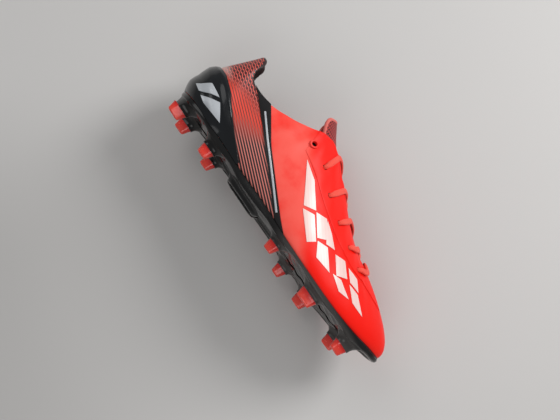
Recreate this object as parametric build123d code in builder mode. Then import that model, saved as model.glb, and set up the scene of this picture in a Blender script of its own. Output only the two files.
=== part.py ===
from build123d import *
import os
import numpy as np

# Right-foot soccer cleat for firm ground. Millimetres, +X to the toe, +Y to the inner
# (medial) side, +Z up. The ground is z = 0, and the origin is the middle of the boot's box.
# Places are written as (along, z), where along is counted forward from the back of the heel.
HEEL_X = -140.44
SIDE_Y = 0.15
PAIR = ("lateral", "medial")
OUTWARD = {"lateral": -1, "medial": 1}

# The outer surface of the upper is a ring of curved ribs from the foot line, where the upper
# meets the sole, to the topline. Each rib is a cubic with four control points, written as
# (along, half width, z): foot, lower handle, upper handle and topline.
HEEL_RIB = ((9, 0, 20), (-6, 0, 38), (11, 0, 63), (19, 0, 93.5))
TOE_RIB = ((277.5, 0, 26.6), (283, 0, 39.6), (257, 0, 52), (211, 0, 61))
LATERAL_RIBS = (
    ((12.5, 13, 19.6), (0, 18, 36.5), (13, 12.5, 62.5), (20.5, 8.5, 92.8)),
    ((21, 24, 19.2), (11.5, 31, 34), (20, 21, 61.5), (25.2, 14.8, 88.8)),
    ((34, 29, 19), (31.5, 38, 31), (28, 27, 58), (28.3, 18.3, 77)),
    ((50, 30, 18.7), (49, 38, 30), (39, 29.5, 54), (37.5, 21, 69.6)),
    ((71, 30.5, 18.4), (70, 38.5, 30), (58, 31, 56), (55, 23.5, 69.6)),
    ((95, 32, 18), (93, 40, 30), (80, 33, 62), (77, 24, 78)),
    ((122, 36, 18), (120, 43, 30), (104, 33, 74), (98, 21.5, 91.5)),
    ((155, 41, 16.2), (153, 48, 28), (130, 32, 76), (113, 15.5, 97)),
    ((188, 43, 15.8), (187, 48, 26.5), (160, 29, 63), (140, 12.5, 87)),
    ((220, 38, 17), (221, 42, 27), (198, 27, 54.6), (170, 11, 72)),
    ((248, 27, 20.8), (251, 30, 31), (232, 19, 50.6), (194, 9.5, 63)),
    ((267, 14, 24.8), (273, 16, 36.4), (250, 10, 52.2), (207, 6, 61.3)),
)
MEDIAL_RIBS = (
    *LATERAL_RIBS[:2],
    ((34, 28.5, 19), (31.5, 37, 31), (28, 27, 58), (28.3, 18.3, 77)),
    ((50, 28.5, 18.7), (49, 36, 31), (39, 29.5, 54), (37.5, 21, 69.6)),
    ((71, 27.5, 18.4), (70, 36, 32), (58, 31, 57), (55, 23.5, 69.6)),
    ((95, 26.5, 18), (93, 36, 33), (80, 32, 63), (77, 24, 78)),
    ((122, 29, 18), (120, 38, 34), (104, 31, 75), (98, 21.5, 91.5)),
    ((155, 36, 16.2), (153, 43, 31), (130, 31, 78), (113, 15.5, 97)),
    ((188, 42, 15.8), (187, 46.5, 28.5), (160, 29, 66), (140, 12.5, 87)),
    ((220, 41, 17), (221, 44, 29), (198, 27, 57.7), (170, 11, 72)),
    ((248, 30, 20.8), (251, 33, 31.6), (232, 20, 51.6), (194, 9.5, 63)),
    ((267, 16, 24.8), (273, 18, 36.4), (250, 11, 52.2), (207, 6, 61.3)),
)

# Layers of the upper, as depths under its outer surface. Negative is outside it.
SKIN = 1.2
GAP = 0.15
FILM = 0.5
BAND = 0.7
CUP = 1.6
PUFF_DEPTH, PUFF = SKIN + GAP, 0.5
LINING_DEPTH, LINING = PUFF_DEPTH + PUFF + 2 * GAP, 0.7
FOAM_DEPTH, FOAM = SKIN + GAP, 2.9
COLLAR_DEPTH, COLLAR = FOAM_DEPTH + FOAM + 2 * GAP, 0.8

# The stretch of the ring that each layer covers: first and last turn, lowest and highest height.
UPPER_SPAN = (2.2, 23.8, 0, 1)
QUARTER_SPAN = (-8.2, 8.2, 0, 1)
CUP_SPAN = (-8, 8, 0.045, 0.9)
PUFF_SPAN = (10.6, 15.4, 0.05, 0.62)
FOREFOOT_SPAN = (6.1, 19.9, 0.05, 0.985)
COLLAR_SPAN = (-6, 6, 0.06, 0.975)
FOAM_SPAN = (-5.6, 5.6, 0.5, 0.94)
BAND_SPAN = (2, 10, 0.03, 1)
EYESTAY_SPAN = (6.2, 12.4, 0.7, 0.985)
GRAPHIC_SPAN = (5, 12.2, 0.12, 0.9)
BADGE_SPAN = (0.2, 6, 0.1, 0.6)
REACH = 90  # half length of a cut that passes right through the boot

# Sole, all as (along, z).
PLATE_LIP = 2.1
PLATE_BOTTOM = (
    (-6, 17), (3, 16.2), (14, 14.6), (60, 14), (80, 12.6), (97, 10.6), (120, 10.6), (140, 11.4),
    (160, 11.8), (228, 11.9), (242, 13.2), (252, 15.2), (266, 19.4), (277, 22.4), (292, 26.6),
)
PLATE_ENDS, TOE_RISE = (-12, 292), 1.5
FOOT_DROP = 0.15
STUD_TOP = 8.0
STUD_DRAFT = 14
STUD_EDGE = 1.2
ROOT_SINK, ROOT_MARGIN = 2.2, 1.6
POD_HEIGHT, POD_DRAFT, POD_CORNER = 6, 12, 8
BOARD, BOARD_INSET = 1.4, 3.2
SOCK, SOCK_INSET, SOCK_REST = 3.0, 4.6, 0.35
POCKET_CENTRE, POCKET_LENGTH, POCKET_WIDTH, POCKET_FLOOR = 106, 34, 22, 10.0
POCKET_WALL, POCKET_CORNER = 1.0, 4
FILLER_HEIGHT = 7.6

# Studs as (side, along, distance from the middle, length, width, turn in degrees).
STUDS = {
    "stud_heel_rear_lateral": ("lateral", 19.5, 16, 16.7, 9.5, 24),
    "stud_heel_front_lateral": ("lateral", 60.5, 21.5, 13.5, 9.5, 6),
    "stud_fore_rear_lateral": ("lateral", 153.5, 29, 12.4, 9, -14),
    "stud_fore_middle_lateral": ("lateral", 202, 32, 18, 9, 0),
    "stud_fore_front_lateral": ("lateral", 250, 17, 15, 9, 24),
    "stud_heel_rear_medial": ("medial", 27, 17, 15, 9.5, 20),
    "stud_heel_front_medial": ("medial", 64.5, 18.5, 13.5, 9.5, 4),
    "stud_fore_rear_medial": ("medial", 173.5, 30, 12.4, 9, -10),
    "stud_fore_middle_medial": ("medial", 205, 31, 15, 9, 4),
    "stud_fore_front_medial": ("medial", 247, 18.5, 15, 9, 24),
}

# Panels in side view. The seam is where the front of the upper meets its rear quarter.
SEAM = ((48, 80), (48.5, 69.5), (64, 60), (81.5, 49.4), (111, 34), (135, 21.5), (151, 14), (156, 8))
BAND_REAR = ((38, 69.5), (48.9, 63.9), (85.1, 44.8), (127, 23), (144, 14.2))
BAND_FRONT = ((58.2, 69.8), (86.9, 49.4), (116.2, 34), (141.4, 20.9), (158, 14))
CUP_TOP = ((4, 55.5), (20, 52.6), (34, 46.5), (48, 38.5), (61.6, 31.5), (84.8, 21), (98, 16))
PIPE_LINE = ((61, 61.6), (81.5, 49.6), (111, 34.2), (134, 22))
PIPE_WIDTH = 1.6

# Six eyelets a side. The first five from the toe carry the lace.
EYELETS = ((208.5, 53.5), (189.5, 57), (168.5, 61), (146, 66.8), (125, 76.8), (104.8, 80))
LACED_ROWS = 5
EYELET_HOLE = 4.6
LACE = 2.4
EYELET_RING, EYELET_RISE, EYELET_EDGE = 7.6, 0.9, 0.3
LACE_OVER = -(FILM + GAP + 0.6 + LACE / 2)
LACE_UNDER = LINING_DEPTH + LINING + 0.5 + LACE / 2
LACE_LIFT = 0.35
LACE_CLEAR = 1.3
BEND_SHARE = 0.45  # of the shorter run beside a corner
OVER_TURNS = (12.4, 11.0, 10.05, 9.3, 8.45)
UNDER_TURNS = (11.7, 10.85, 9.95, 9.2, 8.4)
TAIL = ((8.1, 0.66, 5.2), (8.4, 0.54, 5.4), (8.8, 0.47, 5.8), (9.3, 0.44, 6.6))
AGLET, AGLET_LENGTH = 2.8, 18
EYESTAY = (
    (92, 80), (96, 72), (106, 71), (124, 66.5), (150, 58), (172, 52.5), (193, 49.5), (206, 48.5),
    (217, 50.5), (222, 60), (150, 100), (112, 104), (92, 96),
)

# Flat decoration in side view: white shards on the quarters, silver wedges on the cup.
FACETS = (
    ((112, 67.5), (129, 62.5), (150, 49), (141, 43)),
    ((151, 48.5), (160, 53), (176, 45), (168, 37)),
    ((142.5, 41), (152, 46), (170, 34.5), (166, 28)),
    ((161.5, 53), (172, 49.5), (184, 44), (176, 40.5)),
    ((170, 36), (179, 40), (196, 29.5), (180, 27.5)),
    ((187, 42.5), (196, 46.5), (208.5, 39.5), (201, 33)),
    ((198, 31.5), (206, 34.5), (222, 31), (212, 27.5)),
    ((202, 46), (214, 47), (223, 41.5), (212, 40)),
    ((213, 38.5), (224, 40), (240, 33), (226, 32)),
)
BADGE = (
    ((13.5, 29.5), (21, 38.5), (33, 36.5), (20, 27.5)),
    ((23.5, 26.5), (36.5, 34.5), (50, 25.8), (30, 24.8)),
)

# Tongue as (along, z) of its middle, half width, drop of its edges and how far they are set back.
TONGUE = (
    (208, 54, 4, 2, 0), (190, 58.5, 10, 6, 0), (170, 67, 15, 11, 0), (150, 78.5, 18, 14, 0),
    (130, 90, 19, 15, 2), (113, 101.5, 18.4, 13, 5), (99, 112, 18.5, 7, 6),
)
TONGUE_THICKNESS = 2.6
TONGUE_CUT = 0.2
TONGUE_TOP, BINDING = 13.4, 2.4
TONGUE_FOLD = (110, 103.8)
FOLD_NORMAL = (-0.78, 0, 0.63)


def make_ring():
    """The ribs in order round the boot: heel, lateral side, toe and medial side."""
    lateral = [[(s, -w, z) for s, w, z in rib] for rib in LATERAL_RIBS]
    medial = [list(rib) for rib in reversed(MEDIAL_RIBS)]
    return np.array([HEEL_RIB, *lateral, TOE_RIB, *medial], float)


def make_bend(ring):
    """Second derivatives that join the ribs in one closed smooth spline."""
    count = len(ring)
    system = 4 * np.eye(count) + np.roll(np.eye(count), 1, 0) + np.roll(np.eye(count), -1, 0)
    change = 6 * (np.roll(ring, -1, 0) - 2 * ring + np.roll(ring, 1, 0))
    return np.linalg.solve(system, change.reshape(count, -1)).reshape(ring.shape)


RING = make_ring()
BEND = make_bend(RING)
TURNS = len(RING)
TOE = TURNS // 2


def surface(turn, height):
    """A point on the upper's outer surface: turn counts ribs, height runs from foot 0 to topline 1."""
    low = int(np.floor(turn))
    t, a, b = turn - low, low % TURNS, (low + 1) % TURNS
    rib = (1 - t) * RING[a] + t * RING[b]
    rib = rib + ((1 - t) ** 3 - (1 - t)) * BEND[a] / 6 + (t**3 - t) * BEND[b] / 6
    v = height
    weights = ((1 - v) ** 3, 3 * v * (1 - v) ** 2, 3 * v * v * (1 - v), v**3)
    return sum(weight * point for weight, point in zip(weights, rib))


def inward(turn, height, step=1e-3):
    """The unit vector that points into the boot from the outer surface."""
    along = surface(turn + step, height) - surface(turn - step, height)
    up = surface(turn, height + step) - surface(turn, height - step)
    normal = np.cross(up, along)
    return normal / np.linalg.norm(normal)


def place(point):
    """From (along, side, z) to the boot's own frame."""
    return Vector(point[0] + HEEL_X, point[1] + SIDE_Y, point[2])


def under(turn, height, depth):
    """A point at a depth under the outer surface."""
    return place(surface(turn, height) + depth * inward(turn, height))


def find(along, z, side):
    """Turn and height of the surface point seen at (along, z) from one side."""
    guess = np.array([5 + along / 40, 0.7])
    for _ in range(40):
        here = surface(*guess)[[0, 2]]
        steps = [(surface(*(guess + d))[[0, 2]] - here) / 1e-4 for d in np.eye(2) * 1e-4]
        move = np.linalg.solve(np.array(steps).T, here - (along, z))
        guess = guess - np.clip(move, -0.3, 0.3)
    turn, height = guess
    return (turn, height) if side == "lateral" else (TURNS - turn, height)


def between(outer, inner):
    """The closed solid between two grids of points with the same rows and columns."""
    faces = [Face.make_surface_from_array_of_points(grid) for grid in (outer, inner)]
    walls = [Face.make_surface_from_curves(a, b) for a, b in zip(*(f.edges() for f in faces))]
    return Solid(Shell([*faces, *walls]))


def layer(first, last, low, high, depth, thickness):
    """A shell of the upper between two turns and two heights, from a depth inward."""
    turns = np.linspace(first, last, round(3 * (last - first)) + 1)
    heights = np.linspace(low, high, 12)
    return between(
        *[
            [[under(turn, height, level) for height in heights] for turn in turns]
            for level in (depth, depth + thickness)
        ]
    )


def side_layer(side, first, last, low, high, depth, thickness):
    """A layer on one side, with the turns counted from the heel."""
    if side == "lateral":
        return layer(first, last, low, high, depth, thickness)
    return layer(TURNS - last, TURNS - first, low, high, depth, thickness)


def cut_side(side):
    """Length of a cut from the middle plane out through one side."""
    return -OUTWARD[side] * REACH


def hole_plane(eyelet, side):
    """A plane on the outer surface at an eyelet, facing out of the boot."""
    turn, height = find(*eyelet, side)
    return Plane(origin=under(turn, height, 0), z_dir=Vector(*(-inward(turn, height))))


def punch(side):
    """Round holes through everything at the eyelets of one side."""
    with Locations(*[hole_plane(eyelet, side) for eyelet in EYELETS]):
        Cylinder(EYELET_HOLE / 2, 12, mode=Mode.SUBTRACT)


def foot_line(grow, first, last):
    """The foot line seen from above between two turns, moved outward by a distance."""
    points = []
    for turn in np.linspace(first, last, round(2 * (last - first)) + 1):
        along = surface(turn + 0.01, 0) - surface(turn - 0.01, 0)
        out = np.array([along[1], -along[0]]) / np.hypot(along[0], along[1])
        at = surface(turn, 0)[:2] + grow * out
        points.append((at[0] + HEEL_X, at[1] + SIDE_Y))
    return points


def foot_profile(lift):
    """The foot line seen from the side, from heel to toe and run on past both ends."""
    ribs = [surface(turn, 0) for turn in range(TOE + 1)]
    points = [(PLATE_ENDS[0], ribs[0][2] + lift)] + [(rib[0], rib[2] + lift) for rib in ribs]
    return [*points, (PLATE_ENDS[1], ribs[-1][2] + lift + TOE_RISE)]


def foot_level(along):
    """Height of the foot line at a place along the boot."""
    return float(np.interp(along, *np.array(foot_profile(0)).T))


def shifted(points):
    """Side-view places moved to the boot's frame."""
    return [(along + HEEL_X, z) for along, z in points]


def save(part, name):
    part.label = name
    export_step(part, f"parts/{name}.step")
    print(f"{name:26s} {part.volume:10.1f}")


os.makedirs("parts", exist_ok=True)

# ---- Sole ----

with BuildPart() as outsole_plate:
    with BuildSketch():
        with BuildLine():
            Spline(*foot_line(PLATE_LIP, 0, TOE))
            Spline(*foot_line(PLATE_LIP, TOE, TURNS))
        make_face()
    extrude(amount=REACH)
    with BuildSketch(Plane.XZ):
        with BuildLine():
            top = Spline(*shifted(foot_profile(-FOOT_DROP)))
            bottom = Spline(*shifted(PLATE_BOTTOM))
            Line(top @ 0, bottom @ 0)
            Line(top @ 1, bottom @ 1)
        make_face()
    extrude(amount=REACH, both=True, mode=Mode.INTERSECT)
    # The pod under the arch holds the sensor pocket.
    with BuildSketch(Plane.XY.offset(STUD_TOP)):
        with Locations((POCKET_CENTRE + HEEL_X, SIDE_Y)):
            RectangleRounded(POCKET_LENGTH, POCKET_WIDTH, POD_CORNER)
    extrude(amount=POD_HEIGHT, taper=-POD_DRAFT)
    # Each stud stands on a black root that widens into the plate.
    for side, along, off, length, width, turn in STUDS.values():
        with BuildSketch(Plane.XY.offset(STUD_TOP)):
            with Locations((along + HEEL_X, OUTWARD[side] * off + SIDE_Y)):
                SlotOverall(
                    length + ROOT_MARGIN, width + ROOT_MARGIN, rotation=-OUTWARD[side] * turn
                )
        extrude(amount=foot_level(along) - ROOT_SINK - STUD_TOP, taper=-STUD_DRAFT)
    with BuildSketch(Plane.XY.offset(POCKET_FLOOR)):
        with Locations((POCKET_CENTRE + HEEL_X, SIDE_Y)):
            RectangleRounded(
                POCKET_LENGTH - 2 * POCKET_WALL, POCKET_WIDTH - 2 * POCKET_WALL, POCKET_CORNER
            )
    extrude(amount=REACH, mode=Mode.SUBTRACT)
save(outsole_plate.part, "outsole_plate")

for name, (side, along, off, length, width, turn) in STUDS.items():
    with BuildPart() as stud:
        with BuildSketch(Plane.XY.offset(STUD_TOP)):
            with Locations((along + HEEL_X, OUTWARD[side] * off + SIDE_Y)):
                SlotOverall(length, width, rotation=-OUTWARD[side] * turn)
        extrude(amount=-STUD_TOP, taper=STUD_DRAFT)
        fillet(stud.edges().group_by(Axis.Z)[0], STUD_EDGE)
    save(stud.part, name)

with BuildPart() as pocket_filler:
    with BuildSketch(Plane.XY.offset(POCKET_FLOOR)):
        with Locations((POCKET_CENTRE + HEEL_X, SIDE_Y)):
            inset = POCKET_WALL + 2 * GAP
            RectangleRounded(
                POCKET_LENGTH - 2 * inset, POCKET_WIDTH - 2 * inset, POCKET_CORNER - 2 * GAP
            )
    extrude(amount=FILLER_HEIGHT)
save(pocket_filler.part, "pocket_filler")

for name, inset, rest, thick in (
    ("strobel_board", BOARD_INSET, 0.0, BOARD),
    ("sockliner", SOCK_INSET, BOARD + SOCK_REST, SOCK),
):
    with BuildPart() as sheet:
        with BuildSketch():
            with BuildLine():
                Spline(*foot_line(-inset, 0, TOE))
                Spline(*foot_line(-inset, TOE, TURNS))
            make_face()
        extrude(amount=REACH)
        with BuildSketch(Plane.XZ):
            with BuildLine():
                top = Spline(*shifted(foot_profile(rest + thick)))
                bottom = Spline(*shifted(foot_profile(rest)))
                Line(top @ 0, bottom @ 0)
                Line(top @ 1, bottom @ 1)
            make_face()
        extrude(amount=REACH, both=True, mode=Mode.INTERSECT)
    save(sheet.part, name)

# ---- Upper ----

with BuildPart() as upper_skin:
    add(layer(*UPPER_SPAN, 0, SKIN))
    with BuildSketch(Plane.XZ):
        with BuildLine():
            Polyline(*shifted([*SEAM, (300, 8), (300, 130), (48, 130)]), close=True)
        make_face()
    extrude(amount=REACH, both=True, mode=Mode.INTERSECT)
    punch("lateral")
    punch("medial")
save(upper_skin.part, "upper_skin")

with BuildPart() as rear_quarter:
    add(layer(*QUARTER_SPAN, 0, SKIN))
    with BuildSketch(Plane.XZ):
        with BuildLine():
            edge = [(along - GAP, z) for along, z in SEAM]
            Polyline(*shifted([*edge, (-20, 8), (-20, 130), (48 - GAP, 130)]), close=True)
        make_face()
    extrude(amount=REACH, both=True, mode=Mode.INTERSECT)
save(rear_quarter.part, "rear_quarter")

with BuildPart() as heel_cup:
    add(layer(*CUP_SPAN, -CUP - GAP, CUP))
    with BuildSketch(Plane.XZ):
        with BuildLine():
            edge = Spline(*shifted([(-16, 58), *CUP_TOP]))
            Polyline(edge @ 1, (HEEL_X + 98, 5), (HEEL_X - 16, 5), edge @ 0)
        make_face()
    extrude(amount=REACH, both=True, mode=Mode.INTERSECT)
save(heel_cup.part, "heel_cup")

with BuildPart() as toe_puff:
    add(layer(*PUFF_SPAN, PUFF_DEPTH, PUFF))
save(toe_puff.part, "toe_puff")

with BuildPart() as forefoot_lining:
    add(layer(*FOREFOOT_SPAN, LINING_DEPTH, LINING))
    punch("lateral")
    punch("medial")
save(forefoot_lining.part, "forefoot_lining")

with BuildPart() as collar_lining:
    add(layer(*COLLAR_SPAN, COLLAR_DEPTH, COLLAR))
save(collar_lining.part, "collar_lining")

with BuildPart() as collar_foam:
    add(layer(*FOAM_SPAN, FOAM_DEPTH, FOAM))
save(collar_foam.part, "collar_foam")

for side in PAIR:
    with BuildPart() as band:
        add(side_layer(side, *BAND_SPAN, -BAND - GAP, BAND))
        with BuildSketch(Plane.XZ):
            with BuildLine():
                Polyline(*shifted([*BAND_REAR, *reversed(BAND_FRONT)]), close=True)
            make_face()
        extrude(amount=cut_side(side), mode=Mode.INTERSECT)
    save(band.part, f"{side}_band")

    with BuildPart() as pinstripe:
        add(side_layer(side, *BAND_SPAN, -BAND - FILM - 2 * GAP, FILM))
        with BuildSketch(Plane.XZ):
            with BuildLine():
                Polyline(*shifted(PIPE_LINE))
            trace(line_width=PIPE_WIDTH)
        extrude(amount=cut_side(side), mode=Mode.INTERSECT)
    save(pinstripe.part, f"{side}_pinstripe")

    with BuildPart() as eyestay:
        add(side_layer(side, *EYESTAY_SPAN, -FILM - GAP, FILM))
        with BuildSketch(Plane.XZ):
            with BuildLine():
                Polyline(*shifted(EYESTAY), close=True)
            make_face()
        extrude(amount=cut_side(side), mode=Mode.INTERSECT)
        punch(side)
    save(eyestay.part, f"{side}_eyestay")

    seat = hole_plane(EYELETS[-1], side).offset(FILM + 2 * GAP)
    with BuildPart() as ring:
        with BuildSketch(seat):
            Circle(EYELET_RING / 2)
            Circle(EYELET_HOLE / 2, mode=Mode.SUBTRACT)
        extrude(amount=EYELET_RISE)
        fillet(ring.edges().group_by(Axis(seat.origin, seat.z_dir))[-1], EYELET_EDGE)
    save(ring.part, f"{side}_eyelet_ring")

    with BuildPart() as graphic:
        add(side_layer(side, *GRAPHIC_SPAN, -FILM / 2 - GAP, FILM / 2))
        with BuildSketch(Plane.XZ):
            for facet in FACETS:
                with BuildLine():
                    Polyline(*shifted(facet), close=True)
                make_face()
        extrude(amount=cut_side(side), mode=Mode.INTERSECT)
    save(graphic.part, f"{side}_graphic")

    with BuildPart() as badge:
        add(side_layer(side, *BADGE_SPAN, -CUP - FILM - 2 * GAP, FILM))
        with BuildSketch(Plane.XZ):
            for facet in BADGE:
                with BuildLine():
                    Polyline(*shifted(facet), close=True)
                make_face()
        extrude(amount=cut_side(side), mode=Mode.INTERSECT)
    save(badge.part, f"{side}_heel_badge")

# ---- Tongue ----


def tongue_point(row, across):
    """A point on the tongue's outer face: a row number, and across from -1 to 1."""
    low = min(int(row), len(TONGUE) - 2)
    t = row - low
    before, here, there, after = (
        np.array(TONGUE[min(max(low + k, 0), len(TONGUE) - 1)], float) for k in (-1, 0, 1, 2)
    )
    slope_here, slope_there = (there - before) / 2, (after - here) / 2
    s, z, width, drop, back = (
        (2 * t**3 - 3 * t**2 + 1) * here + (t**3 - 2 * t**2 + t) * slope_here
        + (3 * t**2 - 2 * t**3) * there + (t**3 - t**2) * slope_there
    )
    return place((s - back * across**2, width * across, z - drop * across**2))


def tongue_sheet():
    """The whole tongue, from its sewn toe end to its free top."""
    rows = np.linspace(0, len(TONGUE) - 1, 4 * len(TONGUE))
    columns = np.linspace(-1, 1, 17)
    outer = [[tongue_point(row, across) for across in columns] for row in rows]
    inner = []
    for row in rows:
        line = []
        for across in columns:
            along = tongue_point(row + 0.01, across) - tongue_point(row - 0.01, across)
            side = tongue_point(row, across + 0.01) - tongue_point(row, across - 0.01)
            normal = along.cross(side).normalized()
            line.append(tongue_point(row, across) + normal * TONGUE_THICKNESS)
        inner.append(line)
    return between(outer, inner)


FOLD = Plane(
    origin=(TONGUE_FOLD[0] + HEEL_X, 0, TONGUE_FOLD[1]), x_dir=(0, 1, 0), z_dir=FOLD_NORMAL
)

with BuildPart() as tongue:
    add(tongue_sheet())
    split(bisect_by=FOLD.offset(-TONGUE_CUT), keep=Keep.BOTTOM)
save(tongue.part, "tongue")

with BuildPart() as tongue_top:
    add(tongue_sheet())
    split(bisect_by=FOLD.offset(TONGUE_CUT), keep=Keep.TOP)
    split(bisect_by=FOLD.offset(TONGUE_TOP - BINDING), keep=Keep.BOTTOM)
save(tongue_top.part, "tongue_top")

with BuildPart() as tongue_binding:
    add(tongue_sheet())
    split(bisect_by=FOLD.offset(TONGUE_TOP - BINDING + GAP), keep=Keep.TOP)
save(tongue_binding.part, "tongue_binding")

# ---- Lace ----

# The lace goes over the edge of the throat, down through each eyelet, and back out under the
# edge, so every crossing runs from under one side to over the other side's next row.


def hole_point(row, side, depth):
    turn, height = find(*EYELETS[row], side)
    return under(turn, height, depth)


def edge_point(turns, row, side, depth):
    turn = turns[row] if side == "lateral" else TURNS - turns[row]
    return under(turn, 1.0, depth)


def slope_point(row, side):
    """A point over the eyestay, halfway from the edge of the throat to the eyelet."""
    turn, height = find(*EYELETS[row], "lateral")
    turn = (turn + OVER_TURNS[row]) / 2
    depth = LACE_OVER - LACE_LIFT
    return under(turn if side == "lateral" else TURNS - turn, (1 + height) / 2, depth)


def other(side):
    return PAIR[1 - PAIR.index(side)]


def crossing(row, side, raised):
    """From under the edge at one row, over the tongue, to over the other side's next edge."""
    start = edge_point(UNDER_TURNS, row, side, LACE_UNDER)
    end = edge_point(OVER_TURNS, row + 1, other(side), LACE_OVER)
    middle = (start + end) / 2
    low, high = (edge_point(OVER_TURNS, k, side, 0).Z for k in (row, row + 1))
    top = (low + high) / 2 + LACE_CLEAR + (LACE + LACE_LIFT if raised else 0)
    return [start, Vector(middle.X, SIDE_Y, top), end]


def strand(side):
    """One half of the lace, from the bar at the first row to its end inside the boot."""
    route = [edge_point(OVER_TURNS, 0, side, LACE_OVER)]
    for row in range(LACED_ROWS):
        route += [slope_point(row, side), hole_point(row, side, LACE_OVER)]
        route.append(hole_point(row, side, LACE_UNDER))
        if row < LACED_ROWS - 1:
            route += crossing(row, side, raised=(row % 2 == 0) == (side == "lateral"))
            side = other(side)
    for turn, height, depth in TAIL:
        route.append(under(turn if side == "lateral" else TURNS - turn, height, depth))
    return route


def bend_radii(route):
    """Each corner's radius: the largest that its two runs leave room for."""
    radii = []
    for before, here, after in zip(route, route[1:], route[2:]):
        turn = (here - before).get_angle(after - here)
        shorter = min((here - before).length, (after - here).length)
        radii.append(BEND_SHARE * shorter / np.tan(np.radians(turn / 2)))
    return radii


left, right = strand("medial"), strand("lateral")
route = [*reversed(left), *right]
radii = bend_radii(route)
print("lace radii", [round(float(radius), 1) for radius in radii])

with BuildPart() as lace:
    with BuildLine():
        path = FilletPolyline(*route, radius=radii)
    with BuildSketch(Plane(origin=path @ 0, z_dir=path % 0)):
        Circle(LACE / 2)
    sweep(path=path)
save(lace.part, "lace")
print("lace length", round(path.length, 1), "section times length",
      round(path.length * np.pi * LACE**2 / 4, 1))

with BuildPart() as aglets:
    for tail, before in ((route[0], route[1]), (route[-1], route[-2])):
        with Locations(Plane(origin=tail, z_dir=tail - before)):
            Cylinder(AGLET / 2, AGLET_LENGTH, align=(Align.CENTER, Align.CENTER, Align.MIN))
save(aglets.part, "aglets")
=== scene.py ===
"""The looks of a right-foot soccer cleat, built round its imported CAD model."""

import math

import bmesh
import bpy
import numpy as np
from mathutils import Matrix, Vector


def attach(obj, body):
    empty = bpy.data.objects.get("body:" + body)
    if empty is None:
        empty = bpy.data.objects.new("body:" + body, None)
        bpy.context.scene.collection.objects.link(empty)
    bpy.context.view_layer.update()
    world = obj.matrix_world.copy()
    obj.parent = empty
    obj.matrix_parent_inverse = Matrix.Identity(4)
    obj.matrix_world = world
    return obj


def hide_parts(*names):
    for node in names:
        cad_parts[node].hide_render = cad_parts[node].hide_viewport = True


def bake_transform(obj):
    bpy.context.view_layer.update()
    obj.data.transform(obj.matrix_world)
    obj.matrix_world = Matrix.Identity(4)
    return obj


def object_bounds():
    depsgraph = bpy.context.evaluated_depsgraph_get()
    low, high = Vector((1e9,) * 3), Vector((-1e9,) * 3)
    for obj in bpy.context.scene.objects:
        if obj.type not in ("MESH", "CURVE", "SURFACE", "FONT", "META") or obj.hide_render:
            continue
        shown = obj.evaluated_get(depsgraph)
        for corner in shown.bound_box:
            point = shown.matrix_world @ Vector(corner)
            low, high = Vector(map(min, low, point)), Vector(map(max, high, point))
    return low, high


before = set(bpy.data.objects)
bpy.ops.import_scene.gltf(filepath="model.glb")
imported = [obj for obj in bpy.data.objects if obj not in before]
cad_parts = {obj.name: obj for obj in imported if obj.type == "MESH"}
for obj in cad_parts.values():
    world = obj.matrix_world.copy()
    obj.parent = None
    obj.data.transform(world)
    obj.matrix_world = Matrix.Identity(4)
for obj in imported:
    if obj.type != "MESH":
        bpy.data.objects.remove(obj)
cad_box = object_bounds()

# Shapes are worked out in millimetres and placed as the CAD model is: (along, side, z), where
# along is counted forward from the back of the heel.
MM = 0.001
HEEL_X = -140.44
SIDE_Y = 0.15
ORIGIN = np.array([HEEL_X, SIDE_Y, 0])
PAIR = ("lateral", "medial")
OUTWARD = {"lateral": -1, "medial": 1}

# ---- The upper's surface: a ring of cubic ribs from the foot line to the topline ----

HEEL_RIB = ((9, 0, 20), (-6, 0, 38), (11, 0, 63), (19, 0, 93.5))
TOE_RIB = ((277.5, 0, 26.6), (283, 0, 39.6), (257, 0, 52), (211, 0, 61))
LATERAL_RIBS = (
    ((12.5, 13, 19.6), (0, 18, 36.5), (13, 12.5, 62.5), (20.5, 8.5, 92.8)),
    ((21, 24, 19.2), (11.5, 31, 34), (20, 21, 61.5), (25.2, 14.8, 88.8)),
    ((34, 29, 19), (31.5, 38, 31), (28, 27, 58), (28.3, 18.3, 77)),
    ((50, 30, 18.7), (49, 38, 30), (39, 29.5, 54), (37.5, 21, 69.6)),
    ((71, 30.5, 18.4), (70, 38.5, 30), (58, 31, 56), (55, 23.5, 69.6)),
    ((95, 32, 18), (93, 40, 30), (80, 33, 62), (77, 24, 78)),
    ((122, 36, 18), (120, 43, 30), (104, 33, 74), (98, 21.5, 91.5)),
    ((155, 41, 16.2), (153, 48, 28), (130, 32, 76), (113, 15.5, 97)),
    ((188, 43, 15.8), (187, 48, 26.5), (160, 29, 63), (140, 12.5, 87)),
    ((220, 38, 17), (221, 42, 27), (198, 27, 54.6), (170, 11, 72)),
    ((248, 27, 20.8), (251, 30, 31), (232, 19, 50.6), (194, 9.5, 63)),
    ((267, 14, 24.8), (273, 16, 36.4), (250, 10, 52.2), (207, 6, 61.3)),
)
MEDIAL_RIBS = (
    *LATERAL_RIBS[:2],
    ((34, 28.5, 19), (31.5, 37, 31), (28, 27, 58), (28.3, 18.3, 77)),
    ((50, 28.5, 18.7), (49, 36, 31), (39, 29.5, 54), (37.5, 21, 69.6)),
    ((71, 27.5, 18.4), (70, 36, 32), (58, 31, 57), (55, 23.5, 69.6)),
    ((95, 26.5, 18), (93, 36, 33), (80, 32, 63), (77, 24, 78)),
    ((122, 29, 18), (120, 38, 34), (104, 31, 75), (98, 21.5, 91.5)),
    ((155, 36, 16.2), (153, 43, 31), (130, 31, 78), (113, 15.5, 97)),
    ((188, 42, 15.8), (187, 46.5, 28.5), (160, 29, 66), (140, 12.5, 87)),
    ((220, 41, 17), (221, 44, 29), (198, 27, 57.7), (170, 11, 72)),
    ((248, 30, 20.8), (251, 33, 31.6), (232, 20, 51.6), (194, 9.5, 63)),
    ((267, 16, 24.8), (273, 18, 36.4), (250, 11, 52.2), (207, 6, 61.3)),
)
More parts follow.
